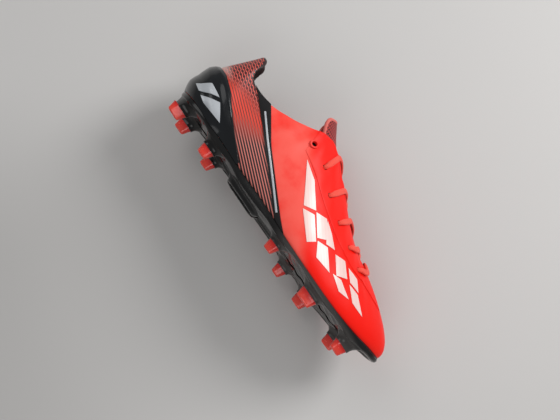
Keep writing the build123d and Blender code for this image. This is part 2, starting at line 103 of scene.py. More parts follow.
RING = np.array(
    [
        HEEL_RIB,
        *[[(s, -w, z) for s, w, z in rib] for rib in LATERAL_RIBS],
        TOE_RIB,
        *reversed(MEDIAL_RIBS),
    ],
    float,
)
TURNS = len(RING)
TOE = TURNS // 2
JOINING = 4 * np.eye(TURNS) + np.roll(np.eye(TURNS), 1, 0) + np.roll(np.eye(TURNS), -1, 0)
CHANGE = 6 * (np.roll(RING, -1, 0) - 2 * RING + np.roll(RING, 1, 0))
BEND = np.linalg.solve(JOINING, CHANGE.reshape(TURNS, -1)).reshape(RING.shape)

SKIN = 1.2
GAP = 0.15
FILM = 0.5
FACING = 0.25
BAND = 0.7
CUP = 1.6
LINING_DEPTH, LINING = 2.15, 0.7
COLLAR_DEPTH = 4.55


def surface(turn, height):
    """Points on the outer surface: turn counts ribs from the heel round by the lateral side."""
    turn, height = np.broadcast_arrays(np.asarray(turn, float), np.asarray(height, float))
    low = np.floor(turn).astype(int)
    t = (turn - low)[..., None, None]
    a, b = low % TURNS, (low + 1) % TURNS
    rib = (1 - t) * RING[a] + t * RING[b]
    rib = rib + ((1 - t) ** 3 - (1 - t)) * BEND[a] / 6 + (t**3 - t) * BEND[b] / 6
    v = height[..., None]
    weights = ((1 - v) ** 3, 3 * v * (1 - v) ** 2, 3 * v * v * (1 - v), v**3)
    return sum(weight * rib[..., k, :] for k, weight in enumerate(weights))


def unit(vectors):
    return vectors / np.linalg.norm(vectors, axis=-1, keepdims=True)


def inward(turn, height, step=1e-3):
    """Unit vectors into the boot."""
    along = surface(turn + step, height) - surface(turn - step, height)
    up = surface(turn, height + step) - surface(turn, height - step)
    return unit(np.cross(up, along))


def under(turn, height, depth):
    """Points at a depth under the outer surface. A negative depth is outside it."""
    return surface(turn, height) + np.asarray(depth, float)[..., None] * inward(turn, height)


def on_side(turn, side):
    """A turn counted from the heel on either side, as a turn of the whole ring."""
    return turn if side == "lateral" else TURNS - turn


def find(along, z, side):
    """Turns and heights, on one side, of the surface points seen at (along, z) in side view."""
    along, z = np.broadcast_arrays(np.asarray(along, float), np.asarray(z, float))
    turn, height, step = 5 + along / 40, np.full(along.shape, 0.7), 1e-4
    for _ in range(40):
        here, onward, upward = (
            surface(on_side(turn + a, side), height + b)[..., [0, 2]]
            for a, b in ((0, 0), (step, 0), (0, step))
        )
        columns = np.stack([(onward - here) / step, (upward - here) / step], -1)
        move = np.linalg.solve(columns, (here - np.stack([along, z], -1))[..., None])[..., 0]
        move = np.clip(move, -0.3, 0.3)
        turn, height = turn - move[..., 0], height - move[..., 1]
    return turn, height


def bisect(below, low, high):
    """Where a condition stops holding between two arrays of numbers."""
    for _ in range(40):
        middle = (low + high) / 2
        held = below(middle)
        low, high = np.where(held, middle, low), np.where(held, high, middle)
    return (low + high) / 2


def smooth(value, start, end):
    """0 before start, 1 after end, and an even rise between."""
    t = np.clip((np.asarray(value, float) - start) / (end - start), 0, 1)
    return t * t * (3 - 2 * t)


def full_turn(count):
    """Angles evenly round a circle."""
    return np.linspace(0, 2 * math.pi, count, endpoint=False)


def line_at(value, line):
    """The second coordinate of a polyline where its first is value."""
    first, second = np.array(line, float).T
    if first[0] > first[-1]:
        first, second = first[::-1], second[::-1]
    return np.interp(value, first, second)


def line_height(turn, line, low, high):
    """Heights, between two others, where the surface crosses a line of the side view."""

    def below(height):
        at = surface(turn, height)
        return at[..., 2] < line_at(at[..., 0], line)

    return bisect(below, np.full(turn.shape, low), np.full(turn.shape, high))


# ---- Meshes ----

SHARP = 38


def quads(rows, columns, start=0, wrap=False):
    """Faces over a grid of vertices numbered row by row."""
    r = np.arange(rows if wrap else rows - 1)[:, None]
    c = np.arange(columns - 1)[None, :]
    here, there = r * columns + c, (r + 1) % rows * columns + c
    corners = np.stack([here, here + 1, there + 1, there], -1)
    return (corners.reshape(-1, 4) + start).tolist()


def shell(outer, inner):
    """The closed skin between two grids of points of one size."""
    rows, columns = outer.shape[:2]
    count = rows * columns
    faces = quads(rows, columns) + quads(rows, columns, count)
    numbers = np.arange(count).reshape(rows, columns)
    for rim in (numbers[:, 0], numbers[:, -1], numbers[0], numbers[-1]):
        faces += [(a, b, b + count, a + count) for a, b in zip(rim[:-1].tolist(), rim[1:].tolist())]
    return np.concatenate([outer.reshape(-1, 3), inner.reshape(-1, 3)]), faces


def layer(turn, height, outer, inner):
    """The closed skin between two depths under the outer surface."""
    return shell(under(turn, height, outer), under(turn, height, inner))


def rings(loops):
    """A skin through closed loops of points, with a flat face on each end."""
    loops = np.asarray(loops)
    count, size = loops.shape[:2]
    faces = []
    for start in range(0, (count - 1) * size, size):
        for c in range(size):
            d = (c + 1) % size
            faces.append((start + c, start + d, start + size + d, start + size + c))
    faces.append(tuple(range(size)))
    faces.append(tuple(range((count - 1) * size, count * size)))
    return loops.reshape(-1, 3), faces


def joined(parts):
    """One list of points and faces from several."""
    points, faces, start = [], [], 0
    for more_points, more_faces in parts:
        points.append(more_points)
        faces += [tuple(v + start for v in face) for face in more_faces]
        start += len(more_points)
    return np.concatenate(points), faces


def piece(name, points, faces, material, sharp=SHARP, flat=None):
    """A mesh object in the boot's frame. flat is a pattern place for each point, in mm."""
    mesh = bpy.data.meshes.new(name)
    mesh.from_pydata(((points + ORIGIN) * MM).tolist(), [], faces)
    if flat is not None:
        places = mesh.attributes.new("flat", "FLOAT_VECTOR", "POINT")
        places.data.foreach_set("vector", (np.asarray(flat, float) * MM).ravel())
    editing = bmesh.new()
    editing.from_mesh(mesh)
    bmesh.ops.remove_doubles(editing, verts=editing.verts, dist=1e-6)
    bmesh.ops.recalc_face_normals(editing, faces=editing.faces)
    editing.to_mesh(mesh)
    editing.free()
    mesh.shade_smooth()
    mesh.set_sharp_from_angle(angle=math.radians(sharp))
    mesh.materials.append(material)
    made = bpy.data.objects.new(name, mesh)
    bpy.context.collection.objects.link(made)
    return made


def round_edges(made, width, segments=2):
    bevel = made.modifiers.new("edges", "BEVEL")
    bevel.width = width * MM
    bevel.segments = segments
    bevel.limit_method = "ANGLE"
    bevel.angle_limit = math.radians(50)


def settle(made):
    """Leaves the object with its modified mesh and no modifiers."""
    graph = bpy.context.evaluated_depsgraph_get()
    mesh = bpy.data.meshes.new_from_object(made.evaluated_get(graph))
    made.modifiers.clear()
    made.data = mesh


def finish_piece(made, nodes, body="boot"):
    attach(made, body)
    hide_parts(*nodes)


# ---- Camera and stage ----

VIEW_TARGET = np.array([133.8, -44, 24.8])
VIEW_DISTANCE = 0.7
VIEW_ELEVATION, VIEW_YAW, VIEW_ROLL = math.radians(-8), math.radians(2), math.radians(56)
LENS = 57.8


def add_camera():
    """The boot stands toe down in the picture, seen from its lateral side and a little below."""
    data = bpy.data.cameras.new("camera")
    data.lens = LENS
    data.sensor_width = 36
    data.clip_start = 0.01
    camera = bpy.data.objects.new("camera", data)
    bpy.context.collection.objects.link(camera)
    level = math.cos(VIEW_ELEVATION)
    away = Vector(
        (math.sin(VIEW_YAW) * level, -math.cos(VIEW_YAW) * level, math.sin(VIEW_ELEVATION))
    )
    across = (-away).cross(Vector((0, 0, 1))).normalized()
    above = away.cross(across)
    right = math.cos(VIEW_ROLL) * across + math.sin(VIEW_ROLL) * above
    up = -math.sin(VIEW_ROLL) * across + math.cos(VIEW_ROLL) * above
    matrix = Matrix((right, up, away)).transposed().to_4x4()
    matrix.translation = Vector((VIEW_TARGET + ORIGIN) * MM) + away * VIEW_DISTANCE
    camera.matrix_world = matrix
    bpy.context.scene.camera = camera


def linear(colour):
    """From the 0 to 255 values of a picture to a shader's colour."""
    return tuple(
        (v / 255 / 12.92 if v / 255 <= 0.04045 else ((v / 255 + 0.055) / 1.055) ** 2.4)
        for v in colour
    )


class Finish:
    """A material in the making: a Principled shader and the nodes that feed it."""

    def __init__(self, name, **values):
        self.material = bpy.data.materials.new(name)
        self.material.use_nodes = True
        self.tree = self.material.node_tree
        self.shader = self.tree.nodes["Principled BSDF"]
        for key, value in values.items():
            self.feed(self.shader.inputs[key.replace("_", " ")], value)

    def feed(self, socket, value):
        """Links an output, or sets a number or a picture colour."""
        if isinstance(value, bpy.types.NodeSocket):
            self.tree.links.new(value, socket)
        elif isinstance(value, tuple) and socket.type == "RGBA":
            socket.default_value = (*linear(value), 1)
        else:
            socket.default_value = value

    def node(self, kind, inputs, **settings):
        node = self.tree.nodes.new("ShaderNode" + kind)
        for key, value in settings.items():
            setattr(node, key, value)
        for key, value in inputs.items():
            self.feed(node.inputs[key], value)
        return node

    def math(self, operation, *values):
        return self.node("Math", dict(enumerate(values)), operation=operation).outputs[0]

    def total(self, *terms):
        """The sum of values times factors."""
        result = None
        for value, factor in terms:
            result = self.math("MULTIPLY_ADD", value, factor, 0.0 if result is None else result)
        return result

    def place(self, attribute=None):
        """Where a point is: x, y and z of the object, or of a pattern place kept on the mesh."""
        if attribute:
            source = self.node("Attribute", {}, attribute_name=attribute).outputs["Vector"]
        else:
            source = self.node("TexCoord", {}).outputs["Object"]
        split = self.node("SeparateXYZ", {"Vector": source})
        return source, *split.outputs[:3]

    def rise(self, value, start, end):
        """0 before start and 1 after end."""
        node = self.node(
            "MapRange", {"Value": value, "From Min": start, "From Max": end},
            interpolation_type="SMOOTHSTEP",
        )
        return node.outputs["Result"]

    def noise(self, where, scale, detail=3.0, stretch=None):
        if stretch:
            where = self.node("Mapping", {"Vector": where, "Scale": stretch}).outputs[0]
        made = self.node("TexNoise", {"Vector": where, "Scale": scale, "Detail": detail})
        return made.outputs[0]

    def cells(self, where, scale):
        return self.node("TexVoronoi", {"Vector": where, "Scale": scale}).outputs["Distance"]

    def lines(self, value, pitch, share, soft=0.12):
        """1 on lines that fill a share of each pitch, 0 between them."""
        off = self.math("DIVIDE", self.math("PINGPONG", value, pitch / 2), pitch / 2)
        return self.math("SUBTRACT", 1.0, self.rise(off, share - soft, share + soft))

    def mix(self, factor, a, b):
        node = self.node("Mix", {}, data_type="RGBA")
        self.feed(node.inputs[0], factor)
        self.feed(node.inputs[6], a)
        self.feed(node.inputs[7], b)
        return node.outputs[2]

    def paint(self, colour):
        self.feed(self.shader.inputs["Base Color"], colour)

    def rough(self, value, low, high):
        """Roughness that runs from low to high with a value from 0 to 1."""
        made = self.node("MapRange", {"Value": value, "To Min": low, "To Max": high})
        self.feed(self.shader.inputs["Roughness"], made.outputs["Result"])

    def bump(self, height, strength, distance):
        made = self.node(
            "Bump", {"Height": height, "Strength": strength, "Distance": distance * MM}
        )
        self.feed(self.shader.inputs["Normal"], made.outputs["Normal"])


STAGE = (206, 204, 202)
STAGE_REACH = 3.0
WALL_GAP = 0.002

# Area lights, in metres: place, aim, diameter and power.
LIGHTS = {
    "key": ((0.15, -0.75, 0.95), (0, 0, 0.04), 0.55, 9.0),
    "front_fill": ((-0.9, -1.0, 0.1), (0, 0, 0.04), 0.9, 3.0),
    "low_fill": ((0.35, -0.7, -0.55), (0.02, 0, 0.02), 0.7, 1.8),
    "back_fill": ((0.1, 1.1, 0.9), (0, 0, 0.04), 0.9, 5),
}


def stage_plane(name, corners):
    """A pale surface that only shows its front, so no view is blocked by its back."""
    finish = Finish(name, Roughness=0.7, Specular_IOR_Level=0.2)
    where, x, _, z = finish.place()
    # Painted shade: the plane is darkened, by up to 24 in each channel, low down on the wall where
    # the two masks overlap, with a faint random mottle mixed in.
    behind = finish.rise(finish.total((x, -0.56), (z, -0.83)), -0.05, 0.25)
    below = finish.rise(finish.total((x, 0.83), (z, -0.56)), -0.16, 0.02)
    corner = finish.math("MULTIPLY", behind, below)
    painted_shade_and_mottle = finish.total((corner, 0.85), (finish.noise(where, 3.0, 2.0), 0.15))
    finish.paint(finish.mix(painted_shade_and_mottle, STAGE, tuple(c - 24 for c in STAGE)))
    facing = finish.node("NewGeometry", {}).outputs["Backfacing"]
    clear = finish.node("BsdfTransparent", {}).outputs[0]
    seen = finish.node("MixShader", {0: facing, 1: finish.shader.outputs[0], 2: clear})
    finish.feed(finish.tree.nodes["Material Output"].inputs["Surface"], seen.outputs[0])
    mesh = bpy.data.meshes.new(name)
    mesh.from_pydata(corners, [], [(0, 1, 2, 3)])
    mesh.materials.append(finish.material)
    made = bpy.data.objects.new(name, mesh)
    bpy.context.collection.objects.link(made)
    return made


def add_stage():
    """A pale floor under the studs, and a pale wall close behind the boot's medial side."""
    wall = cad_box[1][1] + WALL_GAP
    square = [(a * STAGE_REACH, b * STAGE_REACH) for a, b in ((-1, -1), (1, -1), (1, 1), (-1, 1))]
    floor = stage_plane("floor", [(x, y, 0) for x, y in square])
    floor.visible_shadow = False
    floor.visible_diffuse = False
    floor.visible_glossy = False
    stage_plane("wall", [(x, wall, z) for x, z in square])


def add_lights():
    for name, (at, aim, size, power) in LIGHTS.items():
        data = bpy.data.lights.new(name, "AREA")
        data.shape = "DISK"
        data.size = size
        data.energy = power
        light = bpy.data.objects.new(name, data)
        light.location = at
        light.rotation_euler = (Vector(aim) - Vector(at)).to_track_quat("-Z", "Y").to_euler()
        bpy.context.collection.objects.link(light)
    world = bpy.data.worlds.new("world")
    world.use_nodes = True
    background = world.node_tree.nodes["Background"]
    background.inputs["Color"].default_value = (0.86, 0.87, 0.88, 1)
    background.inputs["Strength"].default_value = 0.34
    bpy.context.scene.world = world
    bpy.context.scene.view_settings.view_transform = "Standard"


# ---- Finishes ----


def forward(along):
    """From mm forward of the heel to an x in the shaders."""
    return (along + HEEL_X) * MM


def skin_finish(name):
    """Thin satin synthetic, saturated red in front; on the quarter a salmon patch that is partly
    the skin's own colour and mostly a painted sheen.
    """
    made = Finish(name, Specular_IOR_Level=0.22)
    where, x, _, z = made.place()
    # Painted sheen: the salmon patch over the quarter stands mostly for light on the matte skin and
    # partly for its own colour; noise breaks it up.
    behind = made.total((x, 1.0), (z, 1.16))
    salmon = made.rise(behind, forward(118 + 76 * 1.16), forward(98 + 76 * 1.16))
    cloud = made.noise(where, 40.0, 4.0)
    salmon = made.math("MULTIPLY", salmon, made.rise(cloud, 0.2, 0.62))
    red = made.mix(cloud, (255, 30, 8), (250, 12, 2))
    made.paint(made.mix(salmon, red, (255, 96, 84)))
    grain = made.cells(where, 1500.0)
    creases = made.noise(where, 90.0, 3.0, (1.0, 1.0, 2.2))
    made.rough(creases, 0.34, 0.52)
    made.bump(made.total((grain, 0.16), (creases, 1.0)), 0.35, 0.35)
    return made.material


def quarter_finish():
    """Printed ripstop: slanted lines that thin and change colour from the tab to the arch."""
    made = Finish("quarter", Coat_Weight=0.1, Coat_Roughness=0.3)
    where, x, _, z = made.place()
    slant = made.total((z, 1.0), (x, 0.4))
    run = made.total((x, 1.0), (z, -0.4))
    pitch = 0.0023
    row = made.math("FLOOR", made.math("DIVIDE", slant, pitch))
    shifted = made.total((run, 1.0), (row, 0.0031))
    dashes = made.lines(shifted, 0.0056, 0.6)
    bars = made.lines(slant, pitch, 0.52)
    brick = made.math("MULTIPLY", dashes, bars)
    tab = made.mix(brick, (66, 24, 24), (238, 104, 92))
    dark_lines = made.lines(slant, pitch, 0.3)
    middle = made.mix(dark_lines, (232, 66, 44), (62, 22, 22))
    pale_lines = made.lines(slant, pitch, 0.36)
    lower = made.mix(pale_lines, (40, 22, 24), (226, 128, 116))
    fade = made.noise(where, 55.0, 2.0)
    ahead = made.total((x, 1.0), (z, -1.3), (fade, 0.02))
    front = made.rise(ahead, forward(62 - 1.3 * 45), forward(88 - 1.3 * 36))
    body = made.mix(front, middle, lower)
    high = made.rise(made.total((z, 1.0), (x, -0.12), (fade, 0.01)), 0.066, 0.082)
    colour = made.mix(high, body, tab)
    # Painted highlight: a whitish sheen patch painted near the base of the tab.
    sheen = made.total((x, 1.0), (z, 1.5))
    sheen = made.rise(sheen, forward(26 + 1.5 * 57), forward(6 + 1.5 * 57))
    sheen = made.math("MULTIPLY", sheen, made.rise(z, 0.052, 0.058))
    made.paint(made.mix(made.math("MULTIPLY", sheen, 0.72), colour, (240, 210, 202)))
    weave = made.cells(where, 1400.0)
    made.bump(made.total((bars, 0.5), (weave, 0.3)), 0.4, 0.2)
    made.rough(bars, 0.42, 0.58)
    return made.material


def film_finish(name, colour, shade, roughness, pitch=0.0016):
    """Printed film with the faint slanted lines of its screen."""
    made = Finish(name, Coat_Weight=0.3, Coat_Roughness=0.2)
    where, x, _, z = made.place()
    lines = made.lines(made.total((z, 1.0), (x, 0.78)), pitch, 0.3, 0.2)
    cloud = made.noise(where, 70.0, 3.0)
    made.paint(made.mix(made.total((lines, 0.6), (cloud, 0.4)), colour, shade))
    made.bump(made.total((lines, 0.3), (cloud, 0.6)), 0.25, 0.15)
    made.rough(cloud, roughness - 0.08, roughness + 0.1)
    return made.material


def gloss_finish(name, colour, shade, roughness):
    """Gloss moulding: faint flow marks, handling scuffs and a hard coat."""
    made = Finish(name, Specular_IOR_Level=0.3, Coat_Weight=0.2, Coat_Roughness=0.06)
    where = made.place()[0]
    flow = made.noise(where, 26.0, 4.0, (0.5, 1.0, 1.6))
    scuffs = made.rise(made.noise(where, 320.0, 5.0, (0.25, 1.0, 1.0)), 0.58, 0.75)
    made.paint(made.mix(flow, colour, shade))
    made.rough(made.total((scuffs, 0.6), (flow, 0.4)), roughness, roughness + 0.3)
    made.bump(made.total((flow, 1.0), (scuffs, -0.05)), 0.2, 0.4)
    return made.material


def sole_finish():
    """Gloss black plate, smoky where it is thin at the heel; grey under the forefoot, partly smoky
    plastic and partly a painted sheen.
    """
    made = Finish("sole", Specular_IOR_Level=0.3, Coat_Weight=0.15, Coat_Roughness=0.08)
    where, x, _, z = made.place()
    flow = made.noise(where, 30.0, 4.0, (0.6, 1.0, 1.5))
    smoke = made.rise(x, forward(18), forward(2))
    # Under the forefoot the grey is partly smoky plastic and partly a painted sheen of light
    # bounced onto the underside.
    forefoot = made.rise(x, forward(140), forward(165))
    underside_smoke_and_sheen = made.math("MULTIPLY", forefoot, made.rise(z, 0.02, 0.014))
    grey = made.math("MAXIMUM", smoke, made.math("MULTIPLY", underside_smoke_and_sheen, 0.55))
    black = made.mix(flow, (8, 9, 11), (24, 23, 22))
    made.paint(made.mix(grey, black, (84, 80, 78)))
    scuffs = made.rise(made.noise(where, 260.0, 5.0, (0.3, 1.0, 1.0)), 0.56, 0.74)
    made.rough(made.total((scuffs, 0.7), (flow, 0.3)), 0.12, 0.42)
    made.bump(flow, 0.15, 0.4)
    return made.material


def stud_finish():
    """Clear red moulding, deeper in colour towards its root."""
    made = Finish(
        "stud", Coat_Weight=0.5, Coat_Roughness=0.08, Transmission_Weight=0.12, IOR=1.5,
        Subsurface_Weight=0.35, Subsurface_Scale=0.004,
    )
    where, _, _, z = made.place()
    deep = made.rise(z, 0.002, 0.008)
    cloud = made.noise(where, 120.0, 3.0)
    made.paint(made.mix(deep, (255, 72, 54), (236, 22, 16)))
    scuffs = made.rise(made.noise(where, 500.0, 4.0), 0.5, 0.75)
    made.rough(made.total((scuffs, 0.6), (cloud, 0.4)), 0.1, 0.4)
    made.bump(scuffs, 0.15, 0.1)
    return made.material


def cloth_finish(name, colour, shade, pitch=0.0007, sheen=0.25):
    """Fine woven or knitted cloth: two sets of threads, sheen and a little wear."""
    made = Finish(name, Sheen_Weight=sheen, Sheen_Roughness=0.4)
    where, x, y, z = made.place()
    warp = made.lines(made.total((x, 1.0), (z, 0.6), (y, 0.6)), pitch, 0.5, 0.4)
    weft = made.lines(made.total((z, 1.0), (x, -0.6), (y, 0.6)), pitch, 0.5, 0.4)
    weave = made.math("MAXIMUM", warp, weft)
    wear = made.noise(where, 60.0, 4.0)
    made.paint(made.mix(made.total((weave, 0.55), (wear, 0.45)), shade, colour))
    made.rough(wear, 0.7, 0.92)
    made.bump(made.total((weave, 0.8), (wear, 0.5)), 0.5, 0.25)
    return made.material


def tongue_finish():
    """Mesh of dull red threads, with dark holes in diamonds."""
    made = Finish("tongue", Sheen_Weight=0.2, Sheen_Roughness=0.4)
    where, x, y, _ = made.place("flat")
    rise = made.lines(made.total((x, 1.0), (y, 0.9)), 0.003, 0.62)
    fall = made.lines(made.total((x, 1.0), (y, -0.9)), 0.003, 0.62)
    holes = made.math("MULTIPLY", rise, fall)
    wear = made.noise(where, 70.0, 3.0)
    red = made.mix(wear, (206, 66, 62), (164, 40, 40))
    made.paint(made.mix(holes, red, (18, 6, 8)))
    made.bump(made.math("MULTIPLY", holes, -1.0), 0.6, 0.5)
    made.rough(wear, 0.62, 0.85)
    return made.material


def lace_finish():
    """Woven lace: herringbone picks across it, and a little wear."""
    made = Finish("lace", Specular_IOR_Level=0.25, Sheen_Weight=0.15)
    where, x, y, _ = made.place("flat")
    chevron = made.total((x, 1.0), (made.math("ABSOLUTE", y), 0.9))
    picks = made.lines(chevron, 0.0011, 0.5, 0.3)
    wear = made.noise(where, 150.0, 3.0)
    made.paint(made.mix(made.total((picks, 0.6), (wear, 0.4)), (255, 52, 34), (255, 112, 94)))
    made.bump(picks, 0.7, 0.22)
    made.rough(wear, 0.6, 0.82)
    return made.material


# ---- Upper ----

SEAM = ((48, 80), (48.5, 69.5), (64, 60), (81.5, 49.4), (111, 34), (135, 21.5), (151, 14), (156, 8))
EYELETS = ((208.5, 53.5), (189.5, 57), (168.5, 61), (146, 66.8), (125, 76.8), (104.8, 80))
EYELET_HOLE = 4.6
PUNCH_REACH = 6
LINING_FOOT, LINING_TOP = 0.05, 0.985
HEIGHTS = np.linspace(0, 1, 61)


def seam_turn(height, side):
    """The turn, from the heel, where the front of the upper meets the rear quarter."""
    alongs, zs = np.array(SEAM[::-1], float).T

    def behind(turn):
        at = surface(on_side(turn, side), height)
        return at[..., 0] < np.interp(at[..., 2], zs, alongs)

    return bisect(behind, np.full(height.shape, 1.0), np.full(height.shape, 12.0))


def from_heel(turn):
    """Turns counted from the heel on the nearer side."""
    turn = np.mod(turn, TURNS)
    return np.minimum(turn, TURNS - turn)


def edge_height(turn):
    """Where the skin stops: lower by the roll of the padded collar, full height elsewhere."""
    return 1 - 0.03 * (1 - smooth(from_heel(turn), 4.6, 5.4))


def wrinkles(turn, height):
    """Shallow folds of the quarter under the collar and beside the top eyelets."""
    near = from_heel(turn)
    collar = smooth(near, 5.0, 6.4) * (1 - smooth(near, 8.2, 10.2)) * smooth(height, 0.45, 0.8)
    folds = np.sin(near * 5.2 + 9 * height) + 0.6 * np.sin(near * 9.1 - 14 * height + 1)
    flex = smooth(near, 8.6, 9.6) * (1 - smooth(near, 10.6, 11.8)) * (1 - height) * height * 4
    return 0.32 * collar * folds + 0.14 * flex * np.sin(near * 11 + 3 * height)


def eyelet(row, side):
    """Turn and height of an eyelet's middle. The medial ones mirror the lateral ones."""
    turn, height = find(*EYELETS[row], "lateral")
    return on_side(turn, side), height


def punch(made):
    """Cuts the eyelets of both sides through a piece."""
    loops = []
    around = full_turn(32)
    for row, side in ((row, side) for side in PAIR for row in range(len(EYELETS))):
        at = eyelet(row, side)
        middle, axis = surface(*at), inward(*at)
        first = unit(np.cross(axis, (0, 0, 1)))
        circle = np.cos(around)[:, None] * first + np.sin(around)[:, None] * np.cross(axis, first)
        circle = middle + EYELET_HOLE / 2 * circle
        loops.append(rings([circle - PUNCH_REACH * axis, circle + PUNCH_REACH * axis]))
    cutter = piece("cutter", *joined(loops), made.data.materials[0])
    cut = made.modifiers.new("eyelets", "BOOLEAN")
    cut.operation = "DIFFERENCE"
    cut.object = cutter
    cut.solver = "EXACT"
    settle(made)
    bpy.data.objects.remove(cutter)
    made.data.shade_smooth()
    made.data.set_sharp_from_angle(angle=math.radians(SHARP))


def between_seams(left, right, count):
    """Turns and heights of a grid that runs from one seam to the other."""
    turns = left + np.linspace(0, 1, count)[:, None] * (right - left)
    return turns, HEIGHTS * edge_height(turns)


def add_upper(finishes):
    """The front of the upper, from seam to seam round the toe."""
    left, right = seam_turn(HEIGHTS, "lateral"), TURNS - seam_turn(HEIGHTS, "medial")
    turns, heights = between_seams(left, right, 281)
    depth = -wrinkles(turns, heights)
    shape = layer(turns, heights, depth, depth + SKIN)
    made = piece("upper_front", *shape, finishes["skin"])
    round_edges(made, 0.35)
    settle(made)
    punch(made)
    finish_piece(made, ["upper_skin"])


def add_quarter(finishes):
    """The rear quarter with its heel tab."""
    left, right = -seam_turn(HEIGHTS, "medial"), seam_turn(HEIGHTS, "lateral") - 0.01
    shape = layer(*between_seams(left, right, 221), 0, SKIN)
    made = piece("quarter_and_tab", *shape, finishes["quarter"])
    round_edges(made, 0.35)
    finish_piece(made, ["rear_quarter"])


def add_linings(finishes):
    """The padded collar rolls over the skin's edge and down inside. The throat lining is thin."""
    turns = np.linspace(-6.3, 6.3, 181)[:, None]
    padded = 1 - smooth(from_heel(turns), 4.4, 5.6)
    radius = 0.8 + 1.5 * padded
    start = SKIN * 0.6 * (1 - padded) + 0.1
    top = edge_height(turns) - 0.012 * (1 - padded)
    up = unit(surface(turns, top + 1e-3) - surface(turns, top))
    inside = inward(turns, top)
    roll = []
    for angle in np.linspace(0, math.pi, 13):
        depth = (start + radius * (1 - math.cos(angle)))[..., None]
        lift = (radius * math.sin(angle))[..., None]
        roll.append(surface(turns, top) + depth * inside + lift * up)
    down = top * np.linspace(LINING_TOP, LINING_FOOT, 46)[None, :]
    depth = start + 2 * radius + (COLLAR_DEPTH - start - 2 * radius) * smooth(down, 0.97, 0.9)
    grid = np.concatenate([*roll, under(turns, down, depth)], axis=1)
    made = piece(
        "collar_lining_padded", grid.reshape(-1, 3), quads(*grid.shape[:2]), finishes["lining"]
    )
    thick = made.modifiers.new("cloth", "SOLIDIFY")
    thick.thickness = LINING * MM
    thick.offset = -1
    settle(made)
    finish_piece(made, ["collar_lining"])

    turns = np.linspace(6.1, TURNS - 6.1, 241)[:, None]
    heights = np.linspace(LINING_FOOT, LINING_TOP, 51)[None, :]
    shape = layer(turns, heights, LINING_DEPTH, LINING_DEPTH + LINING)
    made = piece("throat_lining", *shape, finishes["lining"])
    punch(made)
    finish_piece(made, ["forefoot_lining"])


# ---- Heel cup, bands and printed film ----

# Lines of the side view: along and z.
CUP_TOP = (
    (-16, 58), (4, 55.5), (20, 52.6), (34, 46.5), (48, 38.5), (61.6, 31.5), (84.8, 21), (98, 16),
)
BAND_REAR = ((38, 69.5), (48.9, 63.9), (85.1, 44.8), (127, 23), (144, 14.2))
BAND_FRONT = ((58.2, 69.8), (86.9, 49.4), (116.2, 34), (141.4, 20.9), (158, 14))
PIPE_LINE = ((61, 61.6), (81.5, 49.6), (111, 34.2), (134, 22))
PIPE_WIDTH = 1.6
CUP_FOOT, CUP_LEAST = 0.03, 0.075  # heights of the cup's lower edge and of its narrowest part

# Ridges of the heel cup in side view: start, end, reach and rise.
CREASES = (
    ((2, 50), (46, 20), 10, 1.8), ((14, 51), (88, 19), 7, 1.2), ((4, 30), (34, 24), 8, 1.2),
)

# White shards on the quarters, and silver facets on the cup.
FACETS = (
    ((112, 67.5), (129, 62.5), (150, 49), (141, 43)),
    ((151, 48.5), (160, 53), (176, 45), (168, 37)),
    ((142.5, 41), (152, 46), (170, 34.5), (166, 28)),
    ((161.5, 53), (172, 49.5), (184, 44), (176, 40.5)),
    ((170, 36), (179, 40), (196, 29.5), (180, 27.5)),
    ((187, 42.5), (196, 46.5), (208.5, 39.5), (201, 33)),
    ((198, 31.5), (206, 34.5), (222, 31), (212, 27.5)),
    ((202, 46), (214, 47), (223, 41.5), (212, 40)),
    ((213, 38.5), (224, 40), (240, 33), (226, 32)),
)
BADGE = (
    ((13.5, 29.5), (21, 38.5), (33, 36.5), (20, 27.5)),
    ((23.5, 26.5), (36.5, 34.5), (50, 25.8), (30, 24.8)),
)


def crease_depth(at):
    """How far the cup's faceted ridges stand out: tents along lines in side view."""
    out = np.zeros(at.shape[:-1])
    for start, end, reach, rise in CREASES:
        start, end = np.array(start, float), np.array(end, float)
        along = unit(end - start)
        off = at[..., [0, 2]] - start
        t = np.clip(off @ along, 0, np.linalg.norm(end - start))
        apart = np.linalg.norm(off - t[..., None] * along, axis=-1)
        out = np.maximum(out, rise * np.clip(1 - apart / reach, 0, 1))
    return out


def add_cup(finishes):
    """The outer heel cup, up to its slanting top edge on both sides."""
    turns = np.linspace(-7.2, 7.2, 241)[:, None]
    tops = line_height(turns, CUP_TOP, 0.02, 0.9)
    turns, tops = (values[tops[:, 0] > CUP_LEAST] for values in (turns, tops))
    shares = np.linspace(0, 1, 41)[None, :]
    heights = CUP_FOOT + shares * (tops - CUP_FOOT)
    ridge = crease_depth(surface(turns, heights))
    rim = 1 - smooth(shares, 0.93, 1.0) * 0.35
    outer = -(CUP + GAP + ridge) * rim
    made = piece(
        "heel_cup_moulding",
        *layer(turns, heights, outer, -GAP), finishes["cup"], sharp=24,
    )
    round_edges(made, 0.4)
    finish_piece(made, ["heel_cup"])


def draped(side, quad, depth, thickness, size=(28, 10), bulge=0.0):
    """A film patch: a quad of side-view places laid on the upper. A bulging one is on the cup."""
    a, b, c, d = (np.array(corner, float) for corner in quad)
    u = np.linspace(0, 1, size[0])[:, None, None]
    v = np.linspace(0, 1, size[1])[None, :, None]
    flat = (1 - u) * ((1 - v) * a + v * d) + u * ((1 - v) * b + v * c)
    turn, height = find(flat[..., 0], flat[..., 1], side)
    turn = on_side(turn, side)
    depth = depth - wrinkles(turn, height)
    if bulge:
        depth = depth - crease_depth(surface(turn, height))
    rise = bulge * (4 * v * (1 - v))[..., 0]
    return layer(turn, height, depth - rise, depth + thickness)


